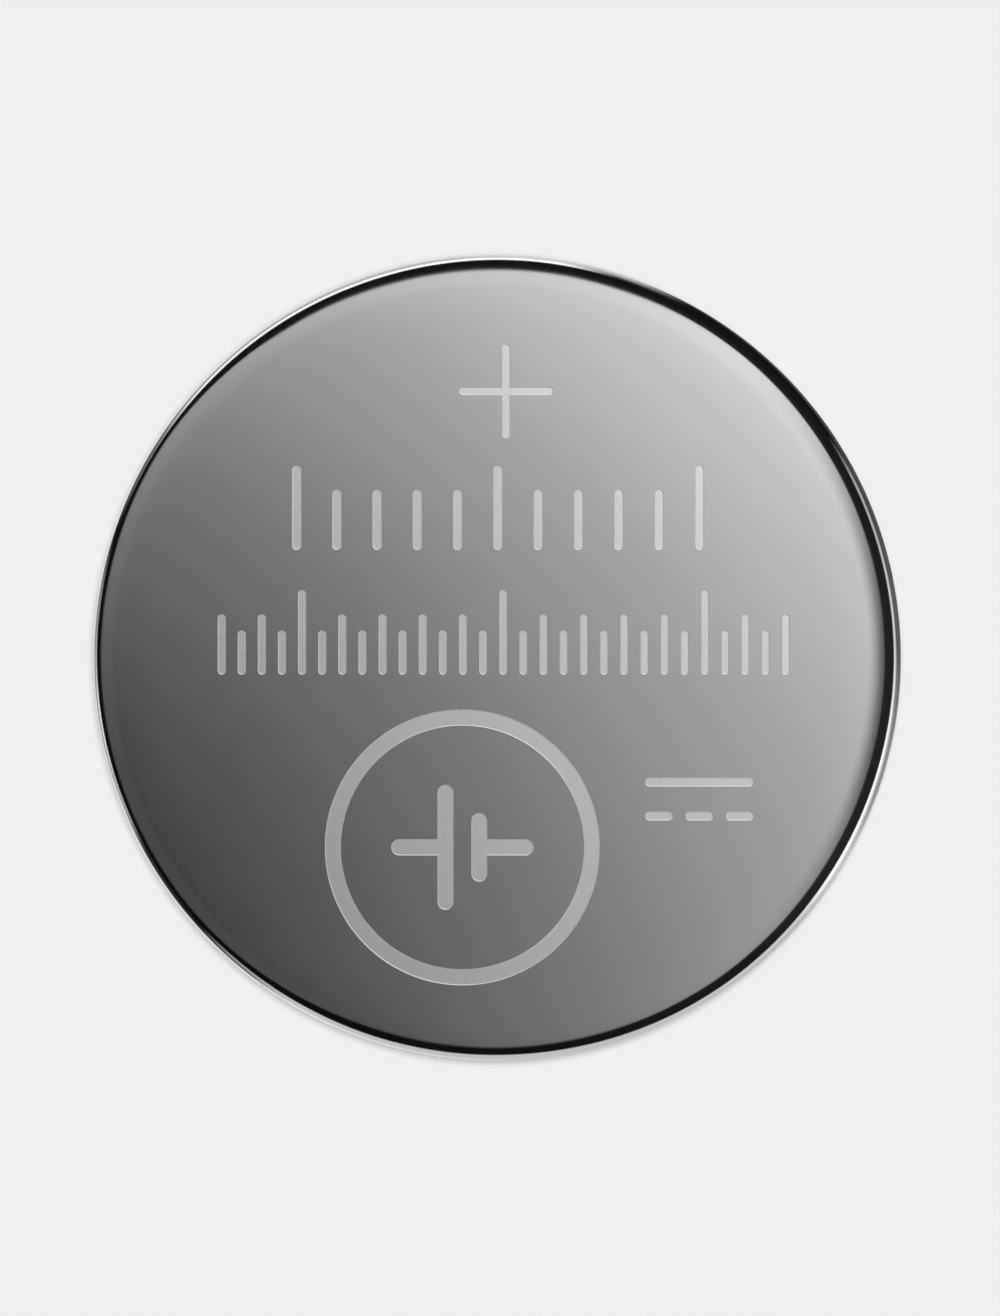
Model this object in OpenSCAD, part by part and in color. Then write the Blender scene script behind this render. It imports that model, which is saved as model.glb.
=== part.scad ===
// Lithium coin cell, lying flat with its positive face up, cut here into the pieces it is closed from.
// The origin is the centre of the negative contact face, and +Z leaves the positive face.
// Every piece is a profile turned about Z. A profile is drawn in the plane of radius and height.

/* [Cell] */
// Diameter over the wall of the can
cell_d = 20; // [16:0.1:24.5]
// Height over both contact faces
cell_h = 3.2; // [2.5:0.1:5]

/* [Positive can] */
// Thickness of the can's sheet
can_t = 0.25; // [0.18:0.01:0.3]
// Outside radius of the soft roll-off round the positive face
can_shoulder_r = 2; // [1:0.1:3]
// Slope at which the roll-off meets the corner, in degrees
can_shoulder_a = 13; // [6:1:20]
// Outside radius of the corner between the roll-off and the wall
can_corner_r = 0.42; // [0.36:0.01:0.6]
// Turn of the crimped lip away from the wall, in degrees
crimp_a = 80; // [60:1:85]

/* [Negative cap] */
// Thickness of the cap's sheet
cap_t = 0.25; // [0.18:0.01:0.28]
// Height of the step from the contact face to the shoulder
cap_step_h = 0.65; // [0.5:0.01:0.8]
// Slope of the step, in degrees
cap_step_a = 70; // [50:1:80]
// Outside radius at the edge of the contact face
cap_edge_r = 0.4; // [0.32:0.01:0.5]
// Outside radius in the root of the step
cap_root_r = 0.3; // [0.1:0.01:0.3]
// Flat width of the shoulder
cap_shoulder_w = 0.42; // [0.3:0.01:0.8]
// Outside radius from the shoulder to the skirt
cap_bend_r = 0.3; // [0.3:0.01:0.5]

/* [Sealing gasket] */
// Thickness of the gasket between the can and the cap
seal_t = 0.3; // [0.2:0.01:0.4]
// Thickness of the foot between the skirt's end and the can's base
seal_foot_t = 0.3; // [0.2:0.01:0.5]
// Thickness of the lip inside the skirt
seal_lip_t = 0.3; // [0.2:0.01:0.5]
// Height of the lip inside the skirt, above the foot
seal_lip_h = 0.6; // [0.2:0.01:0.7]
// Shoulder left bare between the gasket and the step
seal_bare_w = 0.2; // [0.05:0.01:0.25]

/* [Electrodes] */
// Radial clearance of the lithium disc in the cap's recess
lithium_clear = 0.1; // [0.02:0.01:0.5]
// Thickness of the separator
separator_t = 0.15; // [0.05:0.01:0.25]
// Radial clearance of the separator inside the skirt
separator_clear = 0.15; // [0.02:0.01:0.3]
// Radial clearance of the cathode pellet inside the gasket's lip
pellet_clear = 0.95; // [0.3:0.01:1.5]
// Radius pressed on the pellet's edges
pellet_edge_r = 0.15; // [0.05:0.01:0.3]

/* [Cathode collector] */
// Thickness of the expanded metal
mesh_t = 0.1; // [0.05:0.01:0.2]
// Pitch of the openings along their long way
mesh_long = 1.9; // [1.5:0.1:3]
// Pitch of the openings along their short way
mesh_short = 1.1; // [0.9:0.1:2]
// Width of the strands
mesh_strand = 0.2; // [0.1:0.01:0.25]
// Width of the plain band round the mesh
mesh_band = 0.35; // [0.2:0.01:0.6]
// Radial clearance of the collector inside the pellet's edge
mesh_clear = 0.3; // [0.1:0.01:0.8]

/* [Hidden] */
$fn = 180;

// Largest turn between two points of an arc, in degrees
arc_step = 5;

// Radii from the outside in
cell_r = cell_d / 2;
bore_r = cell_r - can_t;
skirt_r = bore_r - seal_t;
skirt_bore_r = skirt_r - cap_t;
lip_bore_r = skirt_bore_r - seal_lip_t;

// Heights from the negative face up
shoulder_top = cap_step_h + cap_t;
separator_top = shoulder_top + separator_t;
base_z = cell_h - can_t;
skirt_end = base_z - seal_foot_t;
collector_z = base_z - mesh_t;

// Centres of the can's arcs: the roll-off and the corner touch where the slope is can_shoulder_a
corner_c = [
    cell_r - can_corner_r,
    cell_h - can_shoulder_r + (can_shoulder_r - can_corner_r) * cos(can_shoulder_a)
];
shoulder_c = [
    corner_c.x - (can_shoulder_r - can_corner_r) * sin(can_shoulder_a),
    cell_h - can_shoulder_r
];

// The crimp, the gasket and the cap's bend lie round one centre
bend_c = [skirt_r - cap_bend_r, cap_step_h + cap_bend_r];
crimp_r = cap_bend_r + seal_t + can_t;

// Centres of the arcs of the cap's step, and the straight slope between them
slope_len = (cap_step_h - (cap_edge_r + cap_root_r) * (1 - cos(cap_step_a))) / sin(cap_step_a);
slope_run = (cap_edge_r + cap_root_r) * sin(cap_step_a) + slope_len * cos(cap_step_a);
root_c = [bend_c.x - cap_shoulder_w, cap_step_h - cap_root_r];
edge_c = [root_c.x - slope_run, cap_edge_r];

// Radii of the pieces inside
lithium_r = edge_c.x - lithium_clear;
separator_r = skirt_bore_r - separator_clear;
pellet_r = lip_bore_r - pellet_clear;
collector_r = pellet_r - mesh_clear;

// Unit step in a direction, in degrees from +radius towards +height
function dir(a) = [cos(a), sin(a)];

// Points along an arc, with both its ends
function arc(centre, r, from, to) =
    let (steps = max(2, ceil(abs(to - from) / arc_step)))
    [for (i = [0:steps]) centre + r * dir(from + (to - from) * i / steps)];

// A list without its last point, for an arc that the next one carries on
function part(points) = [for (i = [0:len(points) - 2]) points[i]];

// A list from its end to its start
function back(points) = [for (i = [len(points) - 1:-1:0]) points[i]];

// Line of the can taken in by inset, from the middle of the positive face to the end of the lip
function can_line(inset) = concat(
    [[0, cell_h - inset]],
    part(arc(shoulder_c, can_shoulder_r - inset, 90, 90 - can_shoulder_a)),
    arc(corner_c, can_corner_r - inset, 90 - can_shoulder_a, 0),
    arc(bend_c, crimp_r - inset, 0, -crimp_a)
);

// Line of the cap taken in by inset, from the middle of the contact face to the end of the skirt
function cap_line(inset) = concat(
    [[0, inset]],
    arc(edge_c, cap_edge_r - inset, -90, cap_step_a - 90),
    arc(root_c, cap_root_r + inset, cap_step_a + 90, 90),
    arc(bend_c, cap_bend_r - inset, -90, 0),
    [[skirt_r - inset, skirt_end]]
);

// Deep-drawn cup: its base is the positive face, and its rim is crimped in over the gasket
module positive_can() {
    color("silver")
        rotate_extrude()
            polygon(concat(can_line(0), back(can_line(can_t))));
}

// Moulded ring that fills the space between the can and the cap and ends in a nose past the crimp
module sealing_gasket() {
    nose_r = seal_t / 2;
    nose_c = [root_c.x + seal_bare_w + nose_r, cap_step_h - nose_r];
    outside = [for (p = can_line(can_t)) if (p.x > lip_bore_r) p];
    color("dimgray")
        rotate_extrude()
            polygon(concat(
                [[lip_bore_r, base_z]],
                part(outside),
                arc(bend_c, crimp_r - can_t, -crimp_a, -90),
                arc(nose_c, nose_r, 270, 90),
                arc(bend_c, cap_bend_r, -90, 0),
                [
                    [skirt_r, skirt_end],
                    [skirt_bore_r, skirt_end],
                    [skirt_bore_r, skirt_end - seal_lip_h],
                    [lip_bore_r, skirt_end - seal_lip_h]
                ]
            ));
}

// Pressed cap: a raised contact face, a step down to the shoulder, and a skirt that stands in the gasket
module negative_cap() {
    color("silver")
        rotate_extrude()
            polygon(concat(cap_line(0), back(cap_line(cap_t))));
}

// Lithium disc that fills the recess behind the contact face
module lithium_anode() {
    color("lightsteelblue")
        translate([0, 0, cap_t])
            cylinder(r = lithium_r, h = cap_step_h);
}

// Non-woven disc that lies on the lithium and on the cap's shoulder
module separator() {
    color("white")
        translate([0, 0, shoulder_top])
            cylinder(r = separator_r, h = separator_t);
}

// Pressed pellet between the separator and the collector
module cathode_pellet() {
    edge_x = pellet_r - pellet_edge_r;
    color("darkslategray")
        rotate_extrude()
            polygon(concat(
                [[0, collector_z], [0, separator_top]],
                arc([edge_x, separator_top + pellet_edge_r], pellet_edge_r, -90, 0),
                arc([edge_x, collector_z - pellet_edge_r], pellet_edge_r, 0, 90)
            ));
}

// Expanded metal against the can's base: diamonds in two staggered sets inside a plain band
module cathode_collector() {
    open_r = collector_r - mesh_band;
    strand_a = atan(mesh_short / mesh_long);
    half = [
        (mesh_long - mesh_strand / sin(strand_a)) / 2,
        (mesh_short - mesh_strand / cos(strand_a)) / 2
    ];
    columns = floor(open_r / mesh_long);
    rows = floor(open_r / mesh_short);
    color("gainsboro")
        translate([0, 0, collector_z])
            linear_extrude(mesh_t)
                difference() {
                    circle(collector_r);
                    for (shift = [0, 0.5], i = [-columns - 1:columns], j = [-rows - 1:rows]) {
                        at = [(i + shift) * mesh_long, (j + shift) * mesh_short];
                        if (norm([abs(at.x) + half.x, at.y]) < open_r && norm([at.x, abs(at.y) + half.y]) < open_r)
                            translate(at)
                                polygon([[-half.x, 0], [0, -half.y], [half.x, 0], [0, half.y]]);
                    }
                }
}

positive_can();
sealing_gasket();
negative_cap();
lithium_anode();
separator();
cathode_pellet();
cathode_collector();
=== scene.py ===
"""Looks of a lithium coin cell that lies on its negative face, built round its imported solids.

Sizes are in millimetres and angles in degrees. Azimuths run from +X towards +Y. Profiles are drawn in the
plane of radius and height. Meshes are made in metres.
"""

import math

import bmesh
import bpy
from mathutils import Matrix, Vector, geometry

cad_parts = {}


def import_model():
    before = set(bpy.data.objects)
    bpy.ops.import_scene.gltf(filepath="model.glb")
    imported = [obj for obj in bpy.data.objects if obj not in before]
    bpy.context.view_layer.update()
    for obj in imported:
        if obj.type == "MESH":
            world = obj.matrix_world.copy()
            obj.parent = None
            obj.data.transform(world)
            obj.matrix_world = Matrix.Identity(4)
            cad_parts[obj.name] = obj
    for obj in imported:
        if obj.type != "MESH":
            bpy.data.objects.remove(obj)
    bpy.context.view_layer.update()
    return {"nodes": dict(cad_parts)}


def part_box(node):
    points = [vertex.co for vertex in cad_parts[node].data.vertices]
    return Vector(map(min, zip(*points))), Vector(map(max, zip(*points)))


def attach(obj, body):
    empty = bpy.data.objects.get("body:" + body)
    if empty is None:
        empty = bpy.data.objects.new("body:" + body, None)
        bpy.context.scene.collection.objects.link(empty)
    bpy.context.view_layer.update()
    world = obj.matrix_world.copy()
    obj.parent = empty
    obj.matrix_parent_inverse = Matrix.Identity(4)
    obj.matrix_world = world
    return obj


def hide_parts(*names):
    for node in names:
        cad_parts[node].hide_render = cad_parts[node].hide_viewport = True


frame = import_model()

MM = 0.001

# Cell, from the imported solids
can_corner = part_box("positive_can")[1] / MM
CELL_R = round(can_corner.x, 3)
CELL_H = round(can_corner.z, 3)

# Positive can: its flat face eases into the roll-off, which meets a tight corner. Radii are of the outside.
CAN_T = 0.25
EASE_R = 55.0
EASE_A = 0.85
SHOULDER_R = 2.0
SHOULDER_A = 13.0
CORNER_R = 0.42
CRIMP_A = 80.0
LIP_EDGE_R = 0.04

# Negative cap: contact face, a flat rim on it, and the step, shoulder and bend to the skirt
CAP_T = 0.25
CAP_RIM_W = 0.1
STEP_H = 0.65
STEP_A = 70.0
CAP_EDGE_R = 0.4
CAP_ROOT_R = 0.3
CAP_SHOULDER_W = 0.42
CAP_BEND_R = 0.3

# Sealing gasket
SEAL_T = 0.3
SEAL_FOOT_T = 0.3
SEAL_LIP_T = 0.3
SEAL_LIP_H = 0.6
SEAL_BARE_W = 0.2

# Fineness: pieces of a full turn, largest turn between two points of an arc, and least turn of a sharp edge
SEGMENTS = 288
HOOP_SEGMENTS = 120
FLOOR_SEGMENTS = 96
FINE_STEP = 3.0
SHOULDER_STEP = 1.5
EASE_STEP = 0.1
NOSE_STEP = 10
LIP_STEP = 12
TIP_STEP = 15
SHARP_A = 15.0

# Etched marks on the positive face: the plain rim outside their field, their depth and their walls' width
PLAIN_RIM_W = 0.2
ETCH_DEPTH = 0.006
ETCH_WALL_W = 0.02

# Filling of the face: only inside its rim, and points closer than this are one
FILL_INSIDE = 1
SAME_POINT = 1e-6

# Plus sign
PLUS_MIDDLE = Vector((0.305, 6.61))
PLUS_ARM = 1.17
PLUS_HALF_W = 0.1

# Two scales. A middle is the foot of the middle tick, and the last tick's number is counted from there.
LONG_TICK = 2.1
MEDIUM_TICK = 1.5
SHORT_TICK = 1.1
COARSE_MIDDLE = Vector((0.1, 2.67))
COARSE_HALF_W = 0.115
COARSE_PITCH = 1.0
COARSE_LAST = 5
FINE_MIDDLE = Vector((0.235, -0.42))
FINE_HALF_W = 0.1
FINE_PITCH = 0.5
FINE_LAST = 14

# Ring with the circuit symbol of one cell. A plate reaches half its length to both sides of its lead.
HOOP_MIDDLE = Vector((-0.78, -4.7))
HOOP_R = 3.22
HOOP_HALF_W = 0.2
PLATE_OFFSET = 0.42
LONG_PLATE_HALF = 1.55
SHORT_PLATE_HALF = 0.85
LEAD = 1.35

# Sign of direct current: a line above its middle and three dashes as far below it
CURRENT_MIDDLE = Vector((5.1, -3.5))
CURRENT_HALF_W = 0.11
CURRENT_LINE = 2.7
CURRENT_DASH = 0.7
CURRENT_RISE = 0.42

# Grey of the steel, and the draw lines down the can's wall, which fade out at the heights of its upper end
STEEL_GREY = 0.6
DRAW_PITCH = 0.08
DRAW_STRETCH = 0.04
DRAW_DEPTH = 0.0012
DRAW_FADE_Z = (2.5, 2.7)

# Dimples of the contact face. A dimple reaches a share of the pitch from its middle.
DIMPLE_PITCH = 0.28
DIMPLE_REACH = 0.5
DIMPLE_DEPTH = 0.02
DIMPLE_FADE_Z = (0.001, 0.01)

# Values that noise mostly lies between
NOISE_LOW = 0.3
NOISE_HIGH = 0.7

# Camera: its tilt, its distance, half the height that it shows, its aim and the range that it sees
VIEW_TILT = 3.7
VIEW_D = 400
VIEW_HALF_H = 16.37
VIEW_AIM = Vector((0.049, -0.0076, CELL_H / 2))
VIEW_NEAR = 10
VIEW_FAR = 3000
SENSOR_W = 36

# Floor, and the grey that it shares with the background
FLOOR_R = 1500
BACKGROUND = 0.863

# Even light all round, and one lamp: its light, the angle that it fills and the way towards it
WORLD_LIGHT = 0.13
LAMP_LIGHT = 0.88
LAMP_A = 9
LAMP_WAY = Vector((0.07, 0.02, 1))

# Card over the cell. Its level is the grey, from 0 to WHITE, that steel of STEEL_GREY shows under it: a value
# at the middle, with a lean and a curve, held beyond the reach.
WHITE = 255
GAMMA = 2.2
CARD_H = 40
CARD_R = 40
NEARER = 1 + CARD_H / VIEW_D
NEAR_AXIS = 0.001
CARD_REACH = 10.2
CARD_REACH_LEAN = 0.9
CARD_LEVEL = 128.8
CARD_LEAN = Vector((5.64, 4.56))
CARD_X2 = 0.04
CARD_XY = -0.04
CARD_Y2 = 0.165
CARD_DARKEST = 60
CARD_BRIGHTEST = 235

# Shade of that card on the right: how much, the radii that it grows over, its middle and where it fades
SHADE = 0.85
SHADE_R = (8.2, 29)
SHADE_MIDDLE_A = -2
SHADE_A = (5, 55)

# Lift of that card at the upper left: how much, the radii that it grows over, and where it rises and falls
LIFT = 0.18
LIFT_R = (9.2, 12.5)
LIFT_RISE_A = (75, 125)
LIFT_FALL_A = (160, 195)

# Light of both cards in rays that a dull surface has scattered before
BOUNCE_LIGHT = 0.3

# Low wall round the cell. A slope is that of the can's edge where the camera sees a part of the wall.
WALL_R = 10.25
WALL_FOOT_R = 10.02
WALL_FOOT_Z = 0.02
TOP_SLOPE = 8

# Gain of the wall's top on the left: how much, and where it rises and falls
LEFT_GAIN = 0.2
LEFT_RISE_A = (60, 200)
LEFT_FALL_A = (222, 252)

# Bands of the wall, as slopes: half of a soft edge, the end of the light band and the foot, both counted from
# the dark band, and the rim, counted from the foot and never under RIM_SLOPE
EDGE_W = 0.5
EDGE_GROWTH = 0.2
LIGHT_W = 5
FOOT_W = 15
FOOT_W_LEAN = 3
RIM_W = 10
RIM_SLOPE = 72

# Lower part of the wall, which the can's own wall reflects towards the side
SIDE_Z = (0.4, 1.8)
SIDE_EASE = 0.25
SIDE_LIGHT = 0.2
SIDE_GAIN = 0.5

# Upper edge of the wall's dark band: azimuth, and the slope that shows it
DARK_FROM = (
    (0, 15.5),
    (45, 16.2),
    (75, 11.9),
    (102, 11.4),
    (122, 12.4),
    (152, 29.5),
    (214, 28.5),
    (252, 13.2),
    (280, 13.3),
    (305, 15.4),
    (330, 14.6),
)

# Lower edge of the dark band: azimuth, the slope that shows it, and the light in the band
DARK_TO = (
    (0, 53, 0.022),
    (30, 52, 0.015),
    (80, 45.2, 0.008),
    (110, 40.4, 0.006),
    (135, 42.3, 0.008),
    (165, 48.5, 0.006),
    (190, 48.5, 0.005),
    (205, 45.5, 0.005),
    (245, 41.3, 0.005),
    (270, 40.8, 0.006),
    (308, 51, 0.014),
    (325, 49.8, 0.024),
)

# Cards under the dark band: azimuth, and the light in the light band, at its foot and at the rim
WALL_CARDS = (
    (4, 1.15, 0.1, 0.08),
    (24, 0.74, 0.07, 0.03),
    (34, 0.01, 0.01, 0.01),
    (61, 0.01, 0.01, 0.04),
    (72, 0.08, 0.7, 0.8),
    (82, 1.95, 0.95, 1.0),
    (104, 1.95, 0.62, 1.1),
    (134, 1.75, 0.45, 1.2),
    (150, 0.3, 0.02, 1.25),
    (162, 0.01, 0.01, 1.25),
    (174, 0.5, 0.3, 1.1),
    (190, 1.35, 0.28, 1.1),
    (201, 0.65, 0.5, 1.2),
    (209, 0.05, 0.02, 1.35),
    (222, 0.02, 0.01, 1.35),
    (230, 0.6, 0.03, 1.3),
    (240, 0.87, 0.85, 1.2),
    (290, 0.87, 0.85, 0.75),
    (318, 1.0, 0.85, 0.6),
    (328, 1.75, 1.35, 0.7),
    (342, 1.8, 0.9, 0.3),
)

# Radii and heights that follow from the sizes above
bore_r = CELL_R - CAN_T
skirt_r = bore_r - SEAL_T
skirt_bore_r = skirt_r - CAP_T
lip_bore_r = skirt_bore_r - SEAL_LIP_T
base_z = CELL_H - CAN_T
skirt_end = base_z - SEAL_FOOT_T


def unit(angle):
    """Step of 1 in a direction, from +radius towards +height, or from +X towards +Y."""
    return Vector((math.cos(math.radians(angle)), math.sin(math.radians(angle))))


def arc(centre, radius, start, end, step=FINE_STEP):
    """Points along an arc, with both its ends."""
    count = max(2, math.ceil(abs(end - start) / step))
    return [centre + radius * unit(start + (end - start) * i / count) for i in range(count + 1)]


# Centres of the can's arcs: a hardly curved one eases the flat face into the roll-off
ease_drop = (EASE_R - SHOULDER_R) * (1 - math.cos(math.radians(EASE_A)))
shoulder_z = CELL_H - ease_drop - SHOULDER_R
centre_gap = SHOULDER_R - CORNER_R
corner_c = Vector((CELL_R - CORNER_R, shoulder_z + centre_gap * math.cos(math.radians(SHOULDER_A))))
shoulder_c = Vector((corner_c.x - centre_gap * math.sin(math.radians(SHOULDER_A)), shoulder_z))
ease_c = shoulder_c - (EASE_R - SHOULDER_R) * unit(90 - EASE_A)

# The crimp, the gasket and the cap's bend lie round one centre
bend_c = Vector((skirt_r - CAP_BEND_R, STEP_H + CAP_BEND_R))
crimp_r = CAP_BEND_R + SEAL_T + CAN_T

# Centres of the arcs of the cap's step
step_turn = math.radians(STEP_A)
slope_rise = STEP_H - (CAP_EDGE_R + CAP_ROOT_R) * (1 - math.cos(step_turn))
slope_run = (CAP_EDGE_R + CAP_ROOT_R) * math.sin(step_turn) + slope_rise / math.tan(step_turn)
root_c = Vector((bend_c.x - CAP_SHOULDER_W, STEP_H - CAP_ROOT_R))
edge_c = Vector((root_c.x - slope_run, CAP_EDGE_R))


def can_line(inset):
    """Line of the can taken in by inset, from the edge of the flat face to the end of the lip."""
    return (
        arc(ease_c, EASE_R - inset, 90, 90 - EASE_A, EASE_STEP)[:-1]
        + arc(shoulder_c, SHOULDER_R - inset, 90 - EASE_A, 90 - SHOULDER_A, SHOULDER_STEP)[:-1]
        + arc(corner_c, CORNER_R - inset, 90 - SHOULDER_A, 0)
        + arc(bend_c, crimp_r - inset, 0, -CRIMP_A)
    )


def cap_line(inset):
    """Line of the cap taken in by inset, from the middle of the contact face to the end of the skirt."""
    return (
        [Vector((0, inset)), Vector((edge_c.x - CAP_RIM_W, inset))]
        + arc(edge_c, CAP_EDGE_R - inset, -90, STEP_A - 90)
        + arc(root_c, CAP_ROOT_R + inset, STEP_A + 90, 90)
        + arc(bend_c, CAP_BEND_R - inset, -90, 0)
        + [Vector((skirt_r - inset, skirt_end))]
    )


def rounded(before, corner, after, radius):
    """Points of a small arc in place of a corner."""
    to_before = (before - corner).normalized()
    to_after = (after - corner).normalized()
    half = to_before.angle(to_after) / 2
    centre = corner + (to_before + to_after).normalized() * radius / math.sin(half)
    run = radius / math.tan(half)
    first = corner + to_before * run - centre
    turn = first.angle_signed(corner + to_after * run - centre)
    start = math.degrees(math.atan2(first.y, first.x))
    return arc(centre, radius, start, start - math.degrees(turn), LIP_STEP)


def ring_of(mesh, radius, height):
    """Vertices of one ring of a turned mesh, or its one vertex on the axis."""
    if radius == 0:
        return [mesh.verts.new((0, 0, height * MM))]
    spots = [unit(360 * i / SEGMENTS) * radius for i in range(SEGMENTS)]
    return [mesh.verts.new((spot.x * MM, spot.y * MM, height * MM)) for spot in spots]


def bridge(mesh, ring, other):
    """Faces between two rings, or between a ring and a vertex on the axis."""
    for i in range(SEGMENTS):
        j = (i + 1) % SEGMENTS
        corners = [ring[i % len(ring)], ring[j % len(ring)], other[j % len(other)], other[i % len(other)]]
        mesh.faces.new(list(dict.fromkeys(corners)))


def turned(mesh, profile, closed):
    """Turns a profile about Z and returns its rings."""
    rings = [ring_of(mesh, point.x, point.y) for point in profile]
    for ring, other in zip(rings, rings[1:]):
        bridge(mesh, ring, other)
    if closed:
        bridge(mesh, rings[-1], rings[0])
    return rings


def piece(name, mesh, materials, node):
    """Makes an object of a mesh with these materials, attaches it to the root and hides the frame's node that
    it takes the place of.
    """
    bmesh.ops.recalc_face_normals(mesh, faces=mesh.faces)
    data = bpy.data.meshes.new(name)
    mesh.to_mesh(data)
    mesh.free()
    data.shade_smooth()
    data.set_sharp_from_angle(angle=math.radians(SHARP_A))
    obj = bpy.data.objects.new(name, data)
    bpy.context.scene.collection.objects.link(obj)
    for material in materials:
        data.materials.append(material)
    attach(obj, "root")
    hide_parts(node)


# Marks. Each is a function that gives its outline taken in by a width, and a sign: +1 is etched inside the
# outline, and -1 is left plain.
def strokes(centre, half_width, *arms):
    """Round-ended strokes that leave one point. An arm is its direction and its length, anticlockwise."""

    def outline(inset):
        width = half_width - inset
        points = []
        for (angle, length), (following, _) in zip(arms, arms[1:] + arms[:1]):
            tip = centre + unit(angle) * (length - half_width)
            points += [tip + unit(angle + turn) * width for turn in range(-90, 91, TIP_STEP)]
            half = (following - angle) % 360 / 2
            if half < 90:
                points.append(centre + unit(angle + half) * width / math.sin(math.radians(half)))
        return points

    return [(outline, 1)]


def bar(centre, half_width, angle, length):
    """One round-ended stroke about its middle."""
    return strokes(centre, half_width, (angle, length / 2), (angle + 180, length / 2))


def hoop(centre, radius, half_width):
    """A round line about a centre."""
    ways = [unit(360 * i / HOOP_SEGMENTS) for i in range(HOOP_SEGMENTS)]
    return [
        (lambda inset: [centre + way * (radius + half_width - inset) for way in ways], 1),
        (lambda inset: [centre + way * (radius - half_width + inset) for way in ways], -1),
    ]


def scale_row(middle, half_width, pitch, last, long_every, medium_every):
    """Ticks on one line, numbered from -last to last. Every so many of them are long, or else medium."""
    marks = []
    for i in range(-last, last + 1):
        length = LONG_TICK if i % long_every == 0 else MEDIUM_TICK if i % medium_every == 0 else SHORT_TICK
        marks += bar(middle + Vector((i * pitch, length / 2)), half_width, 90, length)
    return marks


def cell_symbol(centre, half_width):
    """The circuit symbol of one cell: a long plate and a short plate, each with its lead."""
    offset = Vector((PLATE_OFFSET, 0))
    left = ((90, LONG_PLATE_HALF), (180, LEAD), (270, LONG_PLATE_HALF))
    right = ((0, LEAD), (90, SHORT_PLATE_HALF), (270, SHORT_PLATE_HALF))
    return strokes(centre - offset, half_width, *left) + strokes(centre + offset, half_width, *right)


def direct_current_symbol(centre, half_width):
    """The sign of direct current: one line over three dashes."""
    marks = bar(centre + Vector((0, CURRENT_RISE)), half_width, 0, CURRENT_LINE)
    for i in (-1, 0, 1):
        spot = centre + Vector((i * (CURRENT_LINE - CURRENT_DASH) / 2, -CURRENT_RISE))
        marks += bar(spot, half_width, 0, CURRENT_DASH)
    return marks


def face_marks():
    """All the marks of the positive face."""
    return (
        strokes(PLUS_MIDDLE, PLUS_HALF_W, *((90 * i, PLUS_ARM) for i in range(4)))
        + scale_row(COARSE_MIDDLE, COARSE_HALF_W, COARSE_PITCH, COARSE_LAST, long_every=5, medium_every=1)
        + scale_row(FINE_MIDDLE, FINE_HALF_W, FINE_PITCH, FINE_LAST, long_every=10, medium_every=2)
        + hoop(HOOP_MIDDLE, HOOP_R, HOOP_HALF_W)
        + cell_symbol(HOOP_MIDDLE, HOOP_HALF_W)
        + direct_current_symbol(CURRENT_MIDDLE, CURRENT_HALF_W)
    )


def etched_face(mesh, rim):
    """Fills the ring rim with the flat positive face, and sinks the floors of its marks."""
    points = [vert.co.xy / MM for vert in rim]
    loops = [list(range(len(points)))]
    signs = [0]
    depths = [0] * len(points)
    for outline, sign in face_marks():
        for inset, depth, counted in ((0, 0, sign), (ETCH_WALL_W, ETCH_DEPTH, 0)):
            loop = outline(inset)
            loops.append(list(range(len(points), len(points) + len(loop))))
            signs.append(counted)
            points += loop
            depths += [depth] * len(loop)
    filled = geometry.delaunay_2d_cdt(points, [], loops, FILL_INSIDE, SAME_POINT)
    places, _, triangles, origins, _, owners = filled
    verts = []
    for place, (origin, *_) in zip(places, origins):
        if origin < len(rim):
            verts.append(rim[origin])
        else:
            verts.append(mesh.verts.new((place.x * MM, place.y * MM, (CELL_H - depths[origin]) * MM)))
    for triangle, owner in zip(triangles, owners):
        face = mesh.faces.new([verts[i] for i in triangle])
        face.material_index = int(sum(signs[i] for i in owner) > 0)


def can_shell(steel, etched):
    """Positive can: etched face, roll-off, corner, wall and crimped lip, with its inside."""
    outside = can_line(0)
    inside = can_line(CAN_T)
    tip = outside[-1]
    root = inside[-1]
    face_edge = Vector((outside[0].x - PLAIN_RIM_W, CELL_H))
    lip_end = rounded(outside[-2], tip, root, LIP_EDGE_R) + rounded(tip, root, inside[-2], LIP_EDGE_R)
    profile = [face_edge] + outside[:-1] + lip_end + inside[-2::-1] + [Vector((0, base_z))]
    mesh = bmesh.new()
    rings = turned(mesh, profile, closed=False)
    etched_face(mesh, rings[0])
    piece("can_shell", mesh, [steel, etched], "positive_can")


def gasket_ring(plastic):
    """Sealing gasket between the can and the cap, with its nose past the crimp."""
    nose_r = SEAL_T / 2
    nose_c = Vector((root_c.x + SEAL_BARE_W + nose_r, STEP_H - nose_r))
    profile = (
        [Vector((lip_bore_r, base_z))]
        + [point for point in can_line(CAN_T)[:-1] if point.x > lip_bore_r]
        + arc(bend_c, crimp_r - CAN_T, -CRIMP_A, -90)
        + arc(nose_c, nose_r, 270, 90, NOSE_STEP)
        + arc(bend_c, CAP_BEND_R, -90, 0)
        + [
            Vector((skirt_r, skirt_end)),
            Vector((skirt_bore_r, skirt_end)),
            Vector((skirt_bore_r, skirt_end - SEAL_LIP_H)),
            Vector((lip_bore_r, skirt_end - SEAL_LIP_H)),
        ]
    )
    mesh = bmesh.new()
    turned(mesh, profile, closed=True)
    piece("gasket_ring", mesh, [plastic], "sealing_gasket")


def cap_shell(steel):
    """Negative cap: contact face, step, shoulder and skirt."""
    mesh = bmesh.new()
    turned(mesh, cap_line(0) + cap_line(CAP_T)[::-1], closed=False)
    piece("cap_shell", mesh, [steel], "negative_cap")


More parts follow.
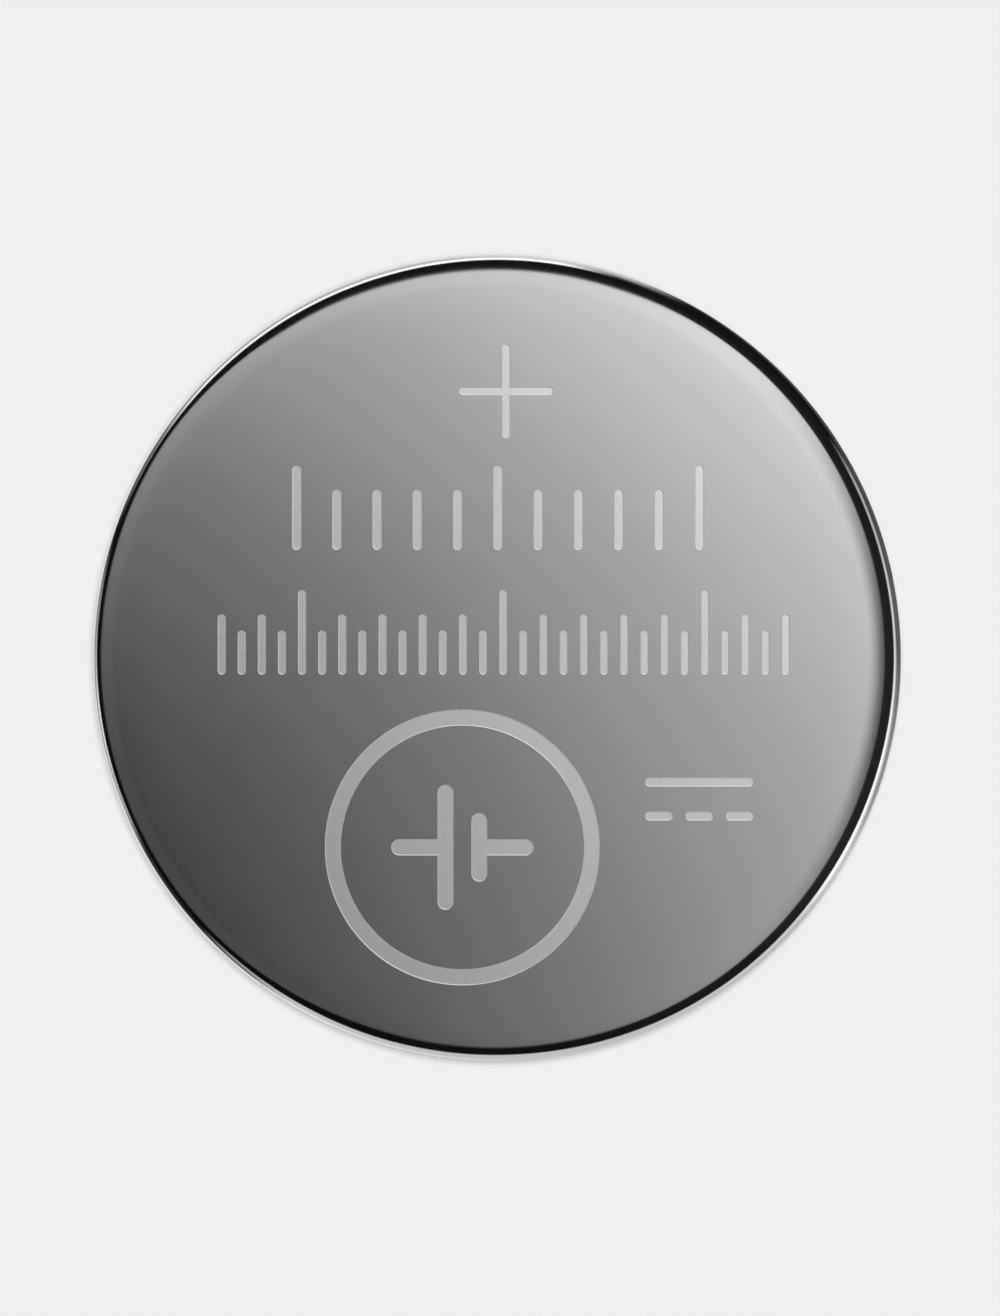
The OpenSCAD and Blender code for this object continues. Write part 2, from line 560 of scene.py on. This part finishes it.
def add(tree, kind, inputs=None, **settings):
    """Adds a shader node. Its settings are set, and each input is linked if given a socket, or set."""
    node = tree.nodes.new("ShaderNode" + kind)
    for key, value in settings.items():
        setattr(node, key, value)
    for key, value in (inputs or {}).items():
        if isinstance(value, bpy.types.NodeSocket):
            tree.links.new(value, node.inputs[key])
        else:
            node.inputs[key].default_value = value
    return node


def combined(tree, operation, first, second, **settings):
    """Two values combined by a Math node."""
    return add(tree, "Math", {0: first, 1: second}, operation=operation, **settings).outputs[0]


def grey(level):
    """An opaque grey."""
    return (level, level, level, 1)


def shaded(name, **sockets):
    """A new material, its tree, its Principled shader with these values, and the place on the piece."""
    material = bpy.data.materials.new(name)
    material.use_nodes = True
    tree = material.node_tree
    shader = tree.nodes["Principled BSDF"]
    for key, value in sockets.items():
        shader.inputs[key.replace("_", " ")].default_value = value
    place = add(tree, "TexCoord").outputs["Object"]
    return material, tree, shader, place


def noise(tree, place, feature_mm, detail):
    """Noise with features of a size, from 0 to 1."""
    inputs = {"Vector": place, "Scale": 1 / (feature_mm * MM), "Detail": detail}
    return add(tree, "TexNoise", inputs).outputs["Fac"]


def spread(tree, value, low, high, from_low=NOISE_LOW, from_high=NOISE_HIGH):
    """Value spread from its own range to low and high, and kept between them."""
    inputs = {"Value": value, "From Min": from_low, "From Max": from_high, "To Min": low, "To Max": high}
    return add(tree, "MapRange", inputs).outputs["Result"]


def below(tree, place, value, full_mm, none_mm):
    """Value as it is below one height, and faded out to 0 at another."""
    height = add(tree, "SeparateXYZ", {0: place}).outputs["Z"]
    kept = spread(tree, height, 1.0, 0.0, full_mm * MM, none_mm * MM)
    return combined(tree, "MULTIPLY", value, kept)


def vary_roughness(tree, shader, place, feature_mm, detail, low, high):
    """Makes the shader's roughness vary over the piece, from low to high."""
    varied = spread(tree, noise(tree, place, feature_mm, detail), low, high)
    tree.links.new(varied, shader.inputs["Roughness"])


def bump(tree, shader, height, depth_mm):
    """Relief of a depth on the shader."""
    normal = add(tree, "Bump", {"Height": height, "Distance": depth_mm * MM}).outputs["Normal"]
    tree.links.new(normal, shader.inputs["Normal"])


def can_steel():
    """Satin nickel-plated steel: an even face, and fine draw lines down the wall."""
    material, tree, shader, place = shaded("can_steel", Base_Color=grey(STEEL_GREY), Metallic=1.0)
    vary_roughness(tree, shader, place, feature_mm=0.9, detail=4, low=0.15, high=0.17)
    along_wall = add(tree, "VectorMath", {0: place, 1: (1, 1, DRAW_STRETCH)}, operation="MULTIPLY").outputs[0]
    lines = noise(tree, along_wall, DRAW_PITCH, detail=4)
    bump(tree, shader, below(tree, place, lines, *DRAW_FADE_Z), DRAW_DEPTH)
    return material


def etched_steel():
    """Steel frosted by a laser: pale, even and dull."""
    material, tree, shader, place = shaded("etched_steel", Base_Color=grey(0.83), Metallic=0.82)
    vary_roughness(tree, shader, place, feature_mm=0.2, detail=3, low=0.27, high=0.31)
    return material


def cap_steel():
    """Satin nickel-plated steel, with fine dimples pressed into its contact face."""
    material, tree, shader, place = shaded("cap_steel", Base_Color=(0.66, 0.66, 0.65, 1), Metallic=1.0)
    vary_roughness(tree, shader, place, feature_mm=0.7, detail=4, low=0.28, high=0.36)
    cells = add(tree, "TexVoronoi", {"Vector": place, "Scale": 1 / (DIMPLE_PITCH * MM)}).outputs["Distance"]
    dimples = spread(tree, cells, 0.0, 1.0, 0.0, DIMPLE_REACH)
    bump(tree, shader, below(tree, place, dimples, *DIMPLE_FADE_Z), DIMPLE_DEPTH)
    return material


def gasket_plastic():
    """Dark moulded polypropylene."""
    material, tree, shader, place = shaded("gasket_plastic", Base_Color=(0.12, 0.12, 0.13, 1), IOR=1.49)
    vary_roughness(tree, shader, place, feature_mm=0.15, detail=3, low=0.42, high=0.55)
    bump(tree, shader, noise(tree, place, feature_mm=0.06, detail=3), depth_mm=0.002)
    return material


def lithium_metal():
    """Soft rolled metal with a dull skin."""
    material, tree, shader, place = shaded("lithium_metal", Base_Color=(0.7, 0.71, 0.73, 1), Metallic=1.0)
    vary_roughness(tree, shader, place, feature_mm=0.6, detail=5, low=0.45, high=0.65)
    bump(tree, shader, noise(tree, place, feature_mm=0.2, detail=4), depth_mm=0.005)
    return material


def separator_felt():
    """Non-woven plastic felt."""
    material, tree, shader, place = shaded("separator_felt", Base_Color=(0.86, 0.86, 0.84, 1), Roughness=0.9)
    bump(tree, shader, noise(tree, place, feature_mm=0.05, detail=6), depth_mm=0.02)
    return material


def cathode_mix():
    """Pressed black powder."""
    material, tree, shader, place = shaded("cathode_mix", Base_Color=grey(0.05))
    vary_roughness(tree, shader, place, feature_mm=0.3, detail=5, low=0.7, high=0.9)
    bump(tree, shader, noise(tree, place, feature_mm=0.08, detail=5), depth_mm=0.01)
    return material


def collector_steel():
    """Expanded stainless steel."""
    material, tree, shader, place = shaded("collector_steel", Base_Color=grey(STEEL_GREY), Metallic=1.0)
    vary_roughness(tree, shader, place, feature_mm=0.4, detail=3, low=0.3, high=0.42)
    bump(tree, shader, noise(tree, place, feature_mm=0.05, detail=3), depth_mm=0.001)
    return material


def finish(node, material):
    """Gives its material to a node of the frame that stays in view."""
    data = frame["nodes"][node].data
    data.materials.clear()
    data.materials.append(material)


def staged(name, mesh, material):
    """An object that isn't part of the cell."""
    data = bpy.data.meshes.new(name)
    mesh.to_mesh(data)
    mesh.free()
    data.materials.append(material)
    obj = bpy.data.objects.new(name, data)
    bpy.context.scene.collection.objects.link(obj)
    return obj


def floor():
    """A plain pale floor."""
    mesh = bmesh.new()
    bmesh.ops.create_circle(mesh, cap_ends=True, segments=FLOOR_SEGMENTS, radius=FLOOR_R * MM)
    paper = {"Base_Color": grey(BACKGROUND), "Roughness": 1.0, "Specular_IOR_Level": 0.0}
    material, *_ = shaded("floor_paper", **paper)
    staged("floor", mesh, material)


def eased(value, start, end):
    """From 0 at start to 1 at end, with both ends eased."""
    part = min(1, max(0, (value - start) / (end - start)))
    return part * part * (3 - 2 * part)


def between(value, rise, fall):
    """From 0 to 1 over the rise and back to 0 over the fall."""
    return eased(value, *rise) * (1 - eased(value, *fall))


def card_light(spot):
    """Light of the card over the cell where the face at a spot reflects it."""
    distance = max(spot.length, NEAR_AXIS)
    held = spot * min(1, (CARD_REACH + CARD_REACH_LEAN * spot.x / distance) / distance)
    level = (
        CARD_LEVEL
        + CARD_LEAN.dot(held)
        + CARD_X2 * held.x**2
        + CARD_XY * held.x * held.y
        + CARD_Y2 * held.y**2
    )
    level = min(CARD_BRIGHTEST, max(CARD_DARKEST, level))
    azimuth = math.degrees(math.atan2(spot.y, spot.x))
    shade = SHADE * eased(spot.length, *SHADE_R) * (1 - eased(abs(azimuth - SHADE_MIDDLE_A), *SHADE_A))
    lift = LIFT * eased(spot.length, *LIFT_R) * between(azimuth % 360, LIFT_RISE_A, LIFT_FALL_A)
    return (level / WHITE) ** GAMMA / STEEL_GREY * (1 - shade) * (1 + lift)


def round_cell(keys, azimuth):
    """Values at an azimuth, eased between the two keys next to it. A key is its azimuth and its values."""
    last = max((key for key in keys if key[0] <= azimuth), default=keys[-1])
    following = min((key for key in keys if key[0] > azimuth), default=keys[0])
    span = (following[0] - last[0]) % 360
    part = eased((azimuth - last[0]) % 360, 0, span)
    return [a + (b - a) * part for a, b in zip(last[1:], following[1:])]


def wall_height(slope, way):
    """Height on the wall, in a direction from the axis, that the camera sees at a slope of the can's edge."""
    if slope < SHOULDER_A:
        spot = shoulder_c + SHOULDER_R * unit(90 - slope)
    else:
        spot = corner_c + CORNER_R * unit(90 - slope)
    rise = math.tan(math.radians(90 - 2 * slope + VIEW_TILT * way.x))
    return max(WALL_FOOT_Z, spot.y + (WALL_R - spot.x) * rise)


def light_over(slope, way):
    """Light that the card over the cell would give the roll-off at a slope, in a direction from the axis."""
    edge = shoulder_c.x + SHOULDER_R * math.sin(math.radians(slope))
    return card_light(way * (edge + CARD_H * math.tan(math.radians(2 * slope))) / NEARER)


def lit_card(name, columns):
    """A card made of columns of points that stand round Z. A point is its place, in mm, and its light."""
    mesh = bmesh.new()
    layer = mesh.verts.layers.float.new("light")
    grid = []
    for column in columns:
        grid.append([mesh.verts.new(place * MM) for place, _ in column])
        for vert, (_, value) in zip(grid[-1], column):
            vert[layer] = value
    for verts, following in zip(grid, grid[1:] + grid[:1]):
        for i in range(len(verts) - 1):
            mesh.faces.new((verts[i], following[i], following[i + 1], verts[i + 1]))
    material = bpy.data.materials.new(name)
    material.use_nodes = True
    tree = material.node_tree
    tree.nodes.clear()
    light = add(tree, "Attribute", attribute_name="light").outputs["Fac"]
    bounced = add(tree, "LightPath").outputs["Diffuse Depth"]
    strength = add(tree, "Mix", {"Factor": bounced, "A": light, "B": BOUNCE_LIGHT}).outputs["Result"]
    emission = add(tree, "Emission", {"Strength": strength}).outputs["Emission"]
    add(tree, "OutputMaterial", {"Surface": emission})
    card = staged(name, mesh, material)
    card.visible_camera = False
    card.visible_diffuse = False
    card.visible_shadow = False
    card.visible_transmission = False
    card.visible_volume_scatter = False


def card_over():
    """Card whose light falls off towards the lower left, which the satin face reflects."""
    middle = Vector((-CARD_H * math.sin(math.radians(VIEW_TILT)), 0))
    raised = Vector((0, 0, CELL_H + CARD_H))
    columns = []
    for i in range(SEGMENTS):
        way = unit(360 * i / SEGMENTS)
        spots = [way * radius for radius in range(CARD_R + 1)]
        columns.append([((spot + middle).to_3d() + raised, card_light(spot / NEARER)) for spot in spots])
    lit_card("card_over", columns)


def wall_column(azimuth):
    """One column of the low wall: its top, the dark band, the cards under it, the side and the foot."""
    way = unit(azimuth)
    gain = 1 + LEFT_GAIN * between(azimuth, LEFT_RISE_A, LEFT_FALL_A)
    [dark_from] = round_cell(DARK_FROM, azimuth)
    dark_to, dark = round_cell(DARK_TO, azimuth)
    light, foot, rim = round_cell(WALL_CARDS, azimuth)
    edge = EDGE_W + EDGE_GROWTH * max(0, dark_from - SHOULDER_A)
    foot_slope = dark_to + FOOT_W + FOOT_W_LEAN * way.x
    bands = (
        (TOP_SLOPE, gain * light_over(TOP_SLOPE, way)),
        (dark_from - edge, gain * light_over(dark_from - edge, way)),
        (dark_from + edge, dark),
        (dark_to - EDGE_W, dark),
        (dark_to + EDGE_W, light),
        (dark_to + LIGHT_W, light),
        (foot_slope, foot),
        (max(RIM_SLOPE, foot_slope + RIM_W), rim),
    )
    side = SIDE_LIGHT + SIDE_GAIN * rim
    column = [(WALL_R, wall_height(slope, way), value) for slope, value in bands]
    column += [
        (WALL_R, SIDE_Z[1] + SIDE_EASE, rim),
        (WALL_R, SIDE_Z[1], side),
        (WALL_R, SIDE_Z[0], side),
        (WALL_R, SIDE_Z[0] - SIDE_EASE, rim),
        (WALL_R, WALL_FOOT_Z, rim),
        (WALL_FOOT_R, WALL_FOOT_Z, rim),
    ]
    return [((way * radius).to_3d() + Vector((0, 0, height)), value) for radius, height, value in column]


def wall_round():
    """Low wall that the can's edge reflects as thin rings."""
    lit_card("wall_round", [wall_column(360 * i / SEGMENTS) for i in range(SEGMENTS)])


def world():
    """Even light all round. Cameras and reflections see the colour of the background instead."""
    made = bpy.data.worlds.new("studio")
    bpy.context.scene.world = made
    made.use_nodes = True
    tree = made.node_tree
    tree.nodes.clear()
    path = add(tree, "LightPath").outputs
    seen = combined(tree, "MAXIMUM", path["Is Camera Ray"], path["Is Glossy Ray"])
    seen = combined(tree, "MAXIMUM", seen, path["Is Transmission Ray"])
    seen = combined(tree, "SUBTRACT", seen, path["Diffuse Depth"], use_clamp=True)
    light = add(tree, "Background", {"Color": grey(1.0), "Strength": WORLD_LIGHT}).outputs[0]
    shown = add(tree, "Background", {"Color": grey(BACKGROUND), "Strength": 1.0}).outputs[0]
    mix = add(tree, "MixShader", {0: seen, 1: light, 2: shown}).outputs[0]
    add(tree, "OutputWorld", {"Surface": mix})


def lamp():
    """One soft lamp from overhead, which leans a little to the right."""
    data = bpy.data.lights.new("overhead", "SUN")
    data.energy = LAMP_LIGHT * math.pi
    data.angle = math.radians(LAMP_A)
    obj = bpy.data.objects.new("overhead", data)
    bpy.context.scene.collection.objects.link(obj)
    obj.rotation_euler = LAMP_WAY.to_track_quat("Z", "Y").to_euler()
    obj.visible_glossy = False


def camera():
    """The photo's view: from above, square to the face but for a small tilt about Y."""
    tilt = math.radians(VIEW_TILT)
    data = bpy.data.cameras.new("view")
    data.sensor_width = SENSOR_W
    data.lens = data.sensor_width / 2 * VIEW_D / VIEW_HALF_H
    data.clip_start = VIEW_NEAR * MM
    data.clip_end = VIEW_FAR * MM
    obj = bpy.data.objects.new("view", data)
    bpy.context.scene.collection.objects.link(obj)
    obj.location = (VIEW_AIM + VIEW_D * Vector((math.sin(tilt), 0, math.cos(tilt)))) * MM
    obj.rotation_euler = (0, tilt, 0)
    bpy.context.scene.camera = obj


can_shell(can_steel(), etched_steel())
gasket_ring(gasket_plastic())
cap_shell(cap_steel())

finish("lithium_anode", lithium_metal())
finish("separator", separator_felt())
finish("cathode_pellet", cathode_mix())
finish("cathode_collector", collector_steel())

floor()
card_over()
wall_round()
world()
lamp()
camera()
bpy.context.scene.view_settings.view_transform = "Standard"
